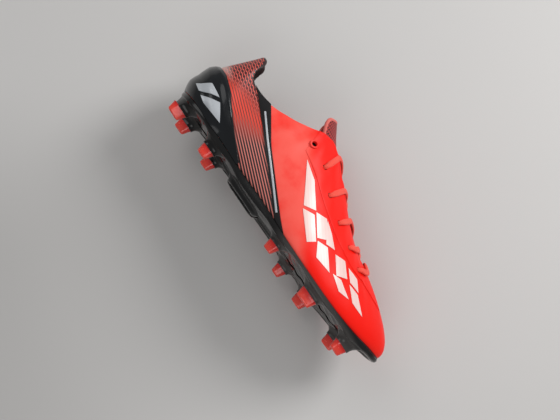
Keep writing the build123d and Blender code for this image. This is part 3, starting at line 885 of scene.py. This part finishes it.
def add_films(finishes):
    for side in PAIR:
        parts = [draped(side, quad, -FILM / 2 - GAP, FILM / 2) for quad in FACETS]
        made = piece(f"{side}_shards", *joined(parts), finishes["white"])
        round_edges(made, 0.08, 1)
        finish_piece(made, [f"{side}_graphic"])

        depth = -CUP - FILM - 2 * GAP - 0.5
        parts = [draped(side, quad, depth, FILM + 0.3, (16, 16), 0.5) for quad in BADGE]
        made = piece(f"{side}_wedges", *joined(parts), finishes["silver"])
        round_edges(made, 0.15, 1)
        finish_piece(made, [f"{side}_heel_badge"])


def strip(side, rear, front, depth, thickness, columns):
    """A band between two side-view lines, with points that answer one another."""
    shares = np.linspace(0, 1, 90)
    lines = []
    for line in (rear, front):
        line = np.array(line, float)
        run = np.append(0, np.cumsum(np.linalg.norm(np.diff(line, axis=0), axis=1)))
        at = np.stack([np.interp(shares * run[-1], run, line[:, k]) for k in (0, 1)], -1)
        kernel = np.ones(9) / 9
        padded = np.concatenate([np.repeat(at[:1], 4, 0), at, np.repeat(at[-1:], 4, 0)])
        soft = np.stack([np.convolve(padded[:, k], kernel, "valid") for k in (0, 1)], -1)
        lines.append(np.where(((shares > 0.06) & (shares < 0.94))[:, None], soft, at))
    across = np.linspace(0, 1, columns)[None, :, None]
    flat = lines[0][:, None, :] * (1 - across) + lines[1][:, None, :] * across
    turn, height = find(flat[..., 0], flat[..., 1], side)
    height = np.minimum(height, 0.995)
    turn = on_side(turn, side)
    crown = 0.2 * (4 * across * (1 - across))[..., 0]
    return layer(turn, height, depth - crown, depth + thickness)


def add_bands(finishes):
    """The black band over the seam, and the silver stripe on it."""
    line = np.array(PIPE_LINE, float)
    along = unit(np.gradient(line, axis=0))
    off = np.stack([-along[:, 1], along[:, 0]], -1) * PIPE_WIDTH / 2
    for side in PAIR:
        shape = strip(side, BAND_REAR, BAND_FRONT, -BAND - GAP, BAND, 15)
        made = piece(f"{side}_seam_band", *shape, finishes["band"])
        round_edges(made, 0.25)
        finish_piece(made, [f"{side}_band"])
        shape = strip(side, line - off, line + off, -BAND - FILM - 2 * GAP, FILM, 5)
        made = piece(f"{side}_stripe", *shape, finishes["silver"])
        round_edges(made, 0.12, 1)
        finish_piece(made, [f"{side}_pinstripe"])


EYESTAY_LOW = (
    (92, 80), (96, 72), (106, 71), (124, 66.5), (150, 58), (172, 52.5), (193, 49.5),
    (206, 48.5), (217, 50.5),
)


def add_eyestays(finishes):
    """The welded facing beside the throat, with a lightly scalloped edge between the eyelets."""
    rows = np.array([float(find(*at, "lateral")[0]) for at in EYELETS])
    shares = np.linspace(0, 1, 27)[None, :]
    edge = 0.25 * np.exp(-((shares - 0.97) / 0.05) ** 2)
    for side in PAIR:
        turns = np.linspace(7.0, 12.3, 201)[:, None]
        lows = line_height(on_side(turns, side), EYESTAY_LOW, 0.4, 0.995)
        apart = np.min(np.abs(turns - rows), axis=1, keepdims=True)
        tops = 0.992 - 0.022 * smooth(apart, 0.15, 0.45)
        turns, lows, tops = (values[lows[:, 0] < 0.96] for values in (turns, lows, tops))
        heights = lows + shares * (tops - lows)
        turns = on_side(turns, side)
        depth = -FACING - GAP - wrinkles(turns, heights)
        shape = layer(turns, heights, depth - edge, depth + FACING)
        made = piece(f"{side}_facing", *shape, finishes["eyestay"])
        round_edges(made, 0.1)
        settle(made)
        punch(made)
        finish_piece(made, [f"{side}_eyestay"])


# ---- Sole ----

PLATE_LIP = 2.1
PLATE_BOTTOM = (
    (-6, 17), (3, 16.2), (14, 14.6), (60, 14), (80, 12.6), (97, 10.6), (120, 10.6), (140, 11.4),
    (160, 11.8), (228, 11.9), (242, 13.2), (252, 15.2), (266, 19.4), (277, 22.4), (292, 26.6),
)
STUD_TOP = 8.0

# Each stud's side, place along, distance from the middle, length, width and turn in degrees.
STUDS = {
    "stud_heel_rear_lateral": ("lateral", 19.5, 16, 16.7, 9.5, 24),
    "stud_heel_front_lateral": ("lateral", 60.5, 21.5, 13.5, 9.5, 6),
    "stud_fore_rear_lateral": ("lateral", 153.5, 29, 12.4, 9, -14),
    "stud_fore_middle_lateral": ("lateral", 202, 32, 18, 9, 0),
    "stud_fore_front_lateral": ("lateral", 250, 17, 15, 9, 24),
    "stud_heel_rear_medial": ("medial", 27, 17, 15, 9.5, 20),
    "stud_heel_front_medial": ("medial", 64.5, 18.5, 13.5, 9.5, 4),
    "stud_fore_rear_medial": ("medial", 173.5, 30, 12.4, 9, -10),
    "stud_fore_middle_medial": ("medial", 205, 31, 15, 9, 4),
    "stud_fore_front_medial": ("medial", 247, 18.5, 15, 9, 24),
}
STUD_DRAFT = 14
POD = (106, 34, 22, 6)  # along, length, width, corner radius


def outline(count):
    """The foot line: turns, points and unit vectors that point outward in plan."""
    turns = np.linspace(0, TURNS, count, endpoint=False)
    ahead = surface(turns + 0.01, 0) - surface(turns - 0.01, 0)
    out = unit(np.stack([ahead[:, 1], -ahead[:, 0], np.zeros(count)], -1))
    return turns, surface(turns, 0), out


def stud_frame(side, along, off, turn):
    """Middle and long direction of a stud in plan."""
    angle = math.radians(-OUTWARD[side] * turn)
    return np.array([along, OUTWARD[side] * off]), np.array([math.cos(angle), math.sin(angle)])


def stud_apart(at, name):
    """Distance in plan from a stud's outline, negative inside it."""
    side, along, off, length, width, turn = STUDS[name]
    middle, long_way = stud_frame(side, along, off, turn)
    away = at - middle
    t = np.clip(away @ long_way, -(length - width) / 2, (length - width) / 2)
    return np.linalg.norm(away - t[..., None] * long_way, axis=-1) - width / 2


def slot_loop(name, grow, z):
    """A stud's rounded outline, grown by a distance, at a level."""
    side, along, off, length, width, turn = STUDS[name]
    middle, long_way = stud_frame(side, along, off, turn)
    across = np.array([-long_way[1], long_way[0]])
    angles = full_turn(56)
    radius, straight = width / 2 + grow, (length - width) / 2
    x = radius * np.cos(angles) + straight * np.tanh(6 * np.cos(angles))
    y = radius * np.sin(angles)
    plan = middle + x[:, None] * long_way + y[:, None] * across
    return np.concatenate([plan, np.broadcast_to(np.reshape(z, (-1, 1)), (len(plan), 1))], -1)


def plate_under(at, edge):
    """Level of the plate's underside in plan. edge is 0 at the middle and 1 at the rim."""
    along, side = at[..., 0], at[..., 1]
    soft = sum(line_at(along + k, PLATE_BOTTOM) for k in (-6, -3, 0, 3, 6)) / 5
    nearest = np.min([stud_apart(at, name) for name in STUDS], axis=0)
    arch = 1.5 * smooth(edge, 0.3, 0.95) * smooth(nearest, 4, 16)
    soft = soft + arch * (1 - smooth(along, 262, 276))
    web = 1.0 * smooth(edge, 0.95, 0.86) * smooth(nearest, 3.0, 6.0)
    ribs = 0.8 * np.cos(side * 0.62) * smooth(np.abs(side), 16, 9) * smooth(along, 40, 58)
    ribs = ribs * (1 - smooth(along, 158, 178))
    chevron = 0.45 * np.cos((along + 0.8 * np.abs(side)) * 0.55) * smooth(along, 165, 180)
    chevron = chevron * (1 - smooth(along, 240, 252)) * smooth(edge, 0.8, 0.6)
    level = soft + web - ribs + chevron
    middle, length, width, corner = POD
    box = np.stack(
        [np.abs(along - middle) - length / 2 + corner, np.abs(side) - width / 2 + corner], -1
    )
    pod = np.linalg.norm(np.maximum(box, 0), axis=-1) - corner
    level = level + (STUD_TOP + 0.2 - level) * smooth(pod, 5.5, 0.0)
    recess = smooth(pod, -2.5, -3.1) * 0.9
    return level + recess


def add_sole(finishes):
    """The plate with its rim, toe lip, arched wall and ribbed underside, and ten stud roots."""
    turns, foot, out = outline(560)
    spine = np.stack([np.clip(foot[:, 0], 34, 246), np.zeros(len(turns)), foot[:, 2]], -1)
    spine[:, 1] = 0.12 * foot[:, 1]
    toe = 1 - smooth(np.abs(turns - TOE), 0.9, 2.4)
    rim = 0.012 + 0.02 * toe
    top = foot[:, 2] - 0.15

    def level(points, z):
        return np.concatenate([points[..., :2], np.reshape(z, (-1, 1))], -1)

    columns = [level(spine, top), level(foot - 6 * out, top), level(foot - 0.5 * out, top)]
    columns += [under(turns, rim, depth) for depth in (-0.15, -0.8)]
    columns.append(under(turns, rim * 0.6, -1.1 - 0.4 * (1 - toe)))
    rim_point = foot + PLATE_LIP * out
    bottom = plate_under(rim_point[:, :2], np.ones(len(turns)))
    for share in (0.0, 0.15, 0.35, 0.6, 0.8):
        draw = PLATE_LIP + 0.25 * math.sin(math.pi * share) - 0.5 * share
        wall = foot + draw * out
        columns.append(level(wall, top - 0.1 - share * (top - 0.1 - bottom)))
    columns.append(level(foot + (PLATE_LIP - 0.9) * out, bottom + 0.08 * (top - bottom)))
    inner = foot + (PLATE_LIP - 1.5) * out
    for share in np.linspace(1, 0, 58):
        plan = spine + share * (inner - spine)
        columns.append(level(plan, plate_under(plan[:, :2], np.full(len(turns), share))))
    grid = np.stack(columns, 1)
    parts = [(grid.reshape(-1, 3), quads(*grid.shape[:2], wrap=True))]
    edge, edge_out = (foot + (PLATE_LIP - 1.4) * out)[:, :2], out[:, :2]
    for name in STUDS:
        loops = []
        for share in np.linspace(0, 1, 15):
            flare = 0.8 + 0.5 * share + 5.5 * share**3.2
            loop = slot_loop(name, flare, STUD_TOP)
            apart = loop[:, None, :2] - edge[None]
            near = np.argmin(np.linalg.norm(apart, axis=-1), axis=1)
            past = np.einsum("ij,ij->i", apart[np.arange(len(loop)), near], edge_out[near])
            loop[:, :2] -= np.maximum(past, 0)[:, None] * edge_out[near]
            roof = plate_under(loop[:, :2], np.full(len(loop), 0.9)) + 0.5
            loop[:, 2] = STUD_TOP + share * (np.maximum(roof, STUD_TOP + 3) - STUD_TOP)
            loops.append(loop)
        loops.insert(0, slot_loop(name, 0.35, STUD_TOP - 0.35))
        parts.append(rings(loops))
    made = piece("sole_plate", *joined(parts), finishes["sole"], sharp=32)
    finish_piece(made, ["outsole_plate"])


def add_studs(finishes):
    """Clear red tips: drafted walls, a rounded ground edge and a shallow dish in the end."""
    draft, edge = math.tan(math.radians(STUD_DRAFT)), 1.6
    base = -draft * (STUD_TOP - edge)
    for name in STUDS:
        loops = [slot_loop(name, 0.0, STUD_TOP), slot_loop(name, -0.1, STUD_TOP - 0.6)]
        for z in np.linspace(STUD_TOP - 1.2, edge, 6):
            loops.append(slot_loop(name, -draft * (STUD_TOP - z), z))
        for angle in np.radians([20, 40, 60, 78, 90]):
            sunk, in_by = edge * math.sin(angle), edge * (1 - math.cos(angle))
            loops.append(slot_loop(name, base - in_by, edge - sunk))
        loops.append(slot_loop(name, base - 2.0, 0.0))
        loops.append(slot_loop(name, base - 2.3, 0.18))
        made = piece(name + "_tip", *rings(loops), finishes["stud"])
        finish_piece(made, [name])


# ---- Inside ----

BOARD, SOCK_INSET, SOCK_REST, SOCK = 1.4, 4.6, 0.35, 3.0


def add_sockliner(finishes):
    """The loose insole: crowned edges, a heel cup and a raised arch."""
    _, foot, out = outline(300)
    edge = foot - SOCK_INSET * out
    spine = np.stack([np.clip(foot[:, 0], 40, 240), 0.1 * foot[:, 1], foot[:, 2]], -1)
    ribs_s, _, ribs_z = surface(np.arange(TOE + 1), 0).T

    def floor_level(points):
        return np.interp(points[..., 0], ribs_s, ribs_z) + BOARD + SOCK_REST

    columns = []
    for share in np.linspace(0, 1, 26):
        plan = spine + share * (edge - spine)
        rear = 1 - smooth(plan[:, 0], 70, 130)
        arch = smooth(plan[:, 0], 70, 100) * (1 - smooth(plan[:, 0], 130, 165)) * (plan[:, 1] > 0)
        lift = (0.2 + 1.1 * rear + 1.0 * arch) * smooth(share, 0.6, 1.0)
        plan[:, 2] = floor_level(plan) + SOCK - 0.6 + lift - 0.5 * smooth(share, 0.97, 1.0)
        columns.append(plan)
    for share, sunk in ((1.0, 0.5), (0.985, 0.1), (0.9, 0.0), (0.5, 0.0), (0.0, 0.0)):
        plan = spine + share * (edge - spine)
        plan[:, 2] = floor_level(plan) + sunk * SOCK
        columns.append(plan)
    grid = np.stack(columns, 1)
    faces = quads(*grid.shape[:2], wrap=True)
    made = piece("insole", grid.reshape(-1, 3), faces, finishes["insole"], sharp=60)
    finish_piece(made, ["sockliner"], "insole")


# ---- Tongue ----

# The tongue from its sewn end up: along, z, half width, and how far its sides drop and sit back.
TONGUE = (
    (208, 54, 4, 2, 0), (190, 58.5, 10, 6, 0), (170, 67, 15, 11, 0), (150, 78.5, 18, 14, 0),
    (130, 90, 19, 15, 2), (113, 101.5, 18.4, 13, 5), (99, 112, 18.5, 7, 6),
)
TONGUE_THICKNESS = 2.6
BINDING = 2.6


def tongue_point(row, across):
    """Points on the tongue's outer face, from its sewn toe end to its top."""
    row, across = np.broadcast_arrays(np.asarray(row, float), np.asarray(across, float))
    rows = np.array(TONGUE, float)
    low = np.clip(row.astype(int), 0, len(rows) - 2)
    t = (row - low)[..., None]
    before, here, there, after = (
        rows[np.clip(low + k, 0, len(rows) - 1)] for k in (-1, 0, 1, 2)
    )
    slope_here, slope_there = (there - before) / 2, (after - here) / 2
    s, z, width, drop, back = np.moveaxis(
        (2 * t**3 - 3 * t**2 + 1) * here + (t**3 - 2 * t**2 + t) * slope_here
        + (3 * t**2 - 2 * t**3) * there + (t**3 - t**2) * slope_there, -1, 0,
    )
    return np.stack([s - back * across**2, width * across, z - drop * across**2], -1)


def tongue_inward(row, across):
    along = tongue_point(row + 0.01, across) - tongue_point(row - 0.01, across)
    side = tongue_point(row, across + 0.01) - tongue_point(row, across - 0.01)
    return unit(np.cross(along, side))


def add_tongue(finishes):
    """One sheet of padded mesh over the fold, with a taped edge round its top."""
    last = len(TONGUE) - 1

    def narrowing(row):
        return 1 - 0.2 * smooth(row, last - 0.35, last + 0.25)

    rows = np.linspace(0.05, last, 141)[:, None]
    across = np.sin(np.linspace(-1, 1, 61) * math.pi / 2)[None, :]
    rows, across = np.broadcast_arrays(rows, across)
    across = across * narrowing(rows)
    inside = tongue_inward(rows, across)
    edge = 1 - smooth(np.abs(across), 0.86, 1.0) * 0.7
    quilt = 0.25 * np.cos(rows * 9) * (1 - across**2) * (1 - smooth(rows, 5.2, 5.6))
    middle = tongue_point(rows, across) + TONGUE_THICKNESS / 2 * inside
    half = (TONGUE_THICKNESS / 2 * edge)[..., None]
    outer = middle - (half + 0.3 * quilt[..., None]) * inside
    inner = middle + half * inside
    sideways = tongue_point(rows, across)[..., 1] * 1.15
    flat = np.stack([rows * 21, sideways, np.zeros(rows.shape)], -1)
    flat = np.concatenate([flat.reshape(-1, 3)] * 2)
    made = piece("tongue_sheet", *shell(outer, inner), finishes["tongue"], flat=flat)
    blend_tongue(made, ["tongue", "tongue_top"])

    corner = 0.12
    half = [(row, -1.0) for row in np.linspace(4.9, last - corner, 24)]
    for turn in np.radians(np.linspace(0, 90, 9)[1:]):
        half.append((last - corner + corner * math.sin(turn), corner * (1 - math.cos(turn)) - 1))
    top = [(last, share) for share in np.linspace(-0.86, 0.86, 33)]
    row, share = np.array([*half, *top, *((row, -share) for row, share in reversed(half))]).T
    share = share * narrowing(row)
    inside = tongue_inward(row, share)
    at = tongue_point(row, share) + TONGUE_THICKNESS / 2 * inside
    ahead = unit(np.gradient(at, axis=0))
    towards = unit(np.cross(ahead, inside))
    angles = full_turn(16)[None, :, None]
    high, wide = TONGUE_THICKNESS / 2 + 0.35, BINDING / 2 + 0.2
    loops = at[:, None] + high * np.cos(angles) * inside[:, None]
    loops = loops + wide * np.sin(angles) * towards[:, None]
    made = piece("tongue_tape", *rings(loops), finishes["binding"], sharp=60)
    blend_tongue(made, ["tongue_binding"])


def blend_tongue(made, nodes):
    """Hides the tongue's CAD nodes and bakes the piece's placement into its mesh."""
    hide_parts(*nodes)
    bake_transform(made)


# ---- Lace ----

LACE_WIDTH, LACE_THICKNESS = 4.9, 2.4
LACE_OVER = -(FILM + GAP + 0.6 + LACE_THICKNESS / 2)
LACE_UNDER = LINING_DEPTH + LINING + 0.5 + LACE_THICKNESS / 2
OVER_TURNS = (12.4, 11.0, 10.05, 9.3, 8.45)
UNDER_TURNS = (11.7, 10.85, 9.95, 9.2, 8.4)
LACED_ROWS = 5
LACE_LIFT, LACE_CLEAR = 0.35, 1.3
TAIL = ((8.1, 0.66, 5.2), (8.4, 0.54, 5.4), (8.8, 0.47, 5.8), (9.3, 0.44, 6.6))


def lace_route():
    """The lace's points, from one end inside the boot to the other, through ten eyelets."""

    def edge(turns, row, side, depth):
        return under(on_side(turns[row], side), 1.0, depth)

    def hole(row, side, depth):
        return under(*eyelet(row, side), depth)

    def slope(row, side):
        turn, height = find(*EYELETS[row], "lateral")
        turn = (turn + OVER_TURNS[row]) / 2
        return under(on_side(turn, side), (1 + height) / 2, LACE_OVER - LACE_LIFT)

    def strand(side):
        route = [edge(OVER_TURNS, 0, side, LACE_OVER)]
        for row in range(LACED_ROWS):
            route += [slope(row, side), hole(row, side, LACE_OVER), hole(row, side, LACE_UNDER)]
            if row == LACED_ROWS - 1:
                break
            far = PAIR[1 - PAIR.index(side)]
            start = edge(UNDER_TURNS, row, side, LACE_UNDER)
            end = edge(OVER_TURNS, row + 1, far, LACE_OVER)
            low, high = (edge(OVER_TURNS, k, side, 0)[2] for k in (row, row + 1))
            raised = (row % 2 == 0) == (side == "lateral")
            top = (low + high) / 2 + LACE_CLEAR + (LACE_THICKNESS + LACE_LIFT if raised else 0)
            route += [start, np.array([(start[0] + end[0]) / 2, 0, top]), end]
            side = far
        return route + [under(on_side(turn, side), height, depth) for turn, height, depth in TAIL]

    return np.array([*reversed(strand("medial")), *strand("lateral")])


def nurbs_points(route):
    """Points along the smooth line that a route steers."""
    curve = bpy.data.curves.new("route", "CURVE")
    curve.dimensions = "3D"
    curve.resolution_u = 14
    spline = curve.splines.new("NURBS")
    spline.points.add(len(route) - 1)
    for point, at in zip(spline.points, route):
        point.co = (*at, 1)
    spline.order_u = 3
    spline.use_endpoint_u = True
    holder = bpy.data.objects.new("route", curve)
    bpy.context.collection.objects.link(holder)
    bpy.context.view_layer.update()
    graph = bpy.context.evaluated_depsgraph_get()
    mesh = bpy.data.meshes.new_from_object(holder.evaluated_get(graph))
    points = np.array([vertex.co for vertex in mesh.vertices])
    bpy.data.objects.remove(holder)
    return points


def add_lace(finishes):
    """A flat woven lace that pinches as it goes through each eyelet."""
    points = nurbs_points(lace_route())
    tangents = unit(np.gradient(points, axis=0))
    throat = unit(np.array([0.972, 0, -0.236]))
    holes = np.array([under(*eyelet(row, side), 0.5) for row in range(LACED_ROWS) for side in PAIR])
    wide, flat_ways = throat, []
    for tangent in tangents:
        lean = throat - (throat @ tangent) * tangent
        carried = wide - (wide @ tangent) * tangent
        if lean @ carried < 0:
            lean = -lean
        wide = unit(carried / (np.linalg.norm(carried) + 1e-9) * 0.75 + lean)
        flat_ways.append(wide)
    flat_ways = np.array(flat_ways)
    normals = np.cross(tangents, flat_ways)
    near = np.linalg.norm(points[:, None] - holes[None], axis=-1).min(1)
    pinch = smooth(near, 1.0, 6.0)
    width = LACE_WIDTH * (0.72 + 0.28 * pinch)
    thick = LACE_THICKNESS * (1.25 - 0.25 * pinch)
    angles = full_turn(20)
    run = np.append(0, np.cumsum(np.linalg.norm(np.diff(points, axis=0), axis=1)))

    def squared(value):
        return np.sign(value) * np.abs(value) ** 0.75

    loops, flat = [], []
    for k, at in enumerate(points):
        across = width[k] / 2 * squared(np.cos(angles))
        high = thick[k] / 2 * squared(np.sin(angles))
        loops.append(at + across[:, None] * flat_ways[k] + high[:, None] * normals[k])
        flat.append(np.stack([np.full(len(angles), run[k]), across, high], -1))
    flat = np.reshape(flat, (-1, 3))
    made = piece("flat_lace", *rings(loops), finishes["lace"], sharp=80, flat=flat)
    finish_piece(made, ["lace"])
    print("lace length along its middle", round(float(run[-1]), 1), "mm")


# ---- CAD nodes that keep their shape ----


def dress_nodes(finishes):
    for node, finish in {
        "pocket_filler": "foam",
        "collar_foam": "foam",
        "strobel_board": "board",
        "toe_puff": "puff",
        "lateral_eyelet_ring": "eyestay",
        "medial_eyelet_ring": "eyestay",
        "aglets": "aglet",
    }.items():
        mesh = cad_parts[node].data
        mesh.materials.clear()
        mesh.materials.append(finishes[finish])


def make_finishes():
    return {
        "skin": skin_finish("skin"),
        "quarter": quarter_finish(),
        "eyestay": skin_finish("facing"),
        "white": film_finish("white_film", (252, 226, 220), (238, 186, 178), 0.34),
        "silver": film_finish("silver_film", (196, 200, 204), (150, 154, 160), 0.26, 0.0012),
        "band": gloss_finish("band", (12, 12, 14), (30, 28, 28), 0.2),
        "cup": gloss_finish("cup", (8, 10, 14), (24, 27, 30), 0.12),
        "sole": sole_finish(),
        "stud": stud_finish(),
        "lining": cloth_finish("lining", (58, 30, 28), (26, 14, 14)),
        "insole": cloth_finish("insole", (44, 44, 48), (18, 18, 20), 0.0009),
        "binding": cloth_finish("binding", (240, 128, 118), (206, 76, 68), 0.0006),
        "tongue": tongue_finish(),
        "lace": lace_finish(),
        "foam": cloth_finish("foam", (120, 120, 124), (84, 84, 88), 0.0016, 0.0),
        "board": cloth_finish("board", (200, 194, 178), (168, 160, 140), 0.0012, 0.0),
        "puff": cloth_finish("puff", (150, 150, 150), (120, 120, 120), 0.0014, 0.0),
        "aglet": gloss_finish("aglet", (206, 60, 48), (170, 36, 28), 0.25),
    }


add_camera()
add_stage()
add_lights()
finishes = make_finishes()
add_upper(finishes)
add_quarter(finishes)
add_linings(finishes)
add_cup(finishes)
add_films(finishes)
add_bands(finishes)
add_eyestays(finishes)
add_sole(finishes)
add_studs(finishes)
add_sockliner(finishes)
add_tongue(finishes)
add_lace(finishes)
dress_nodes(finishes)
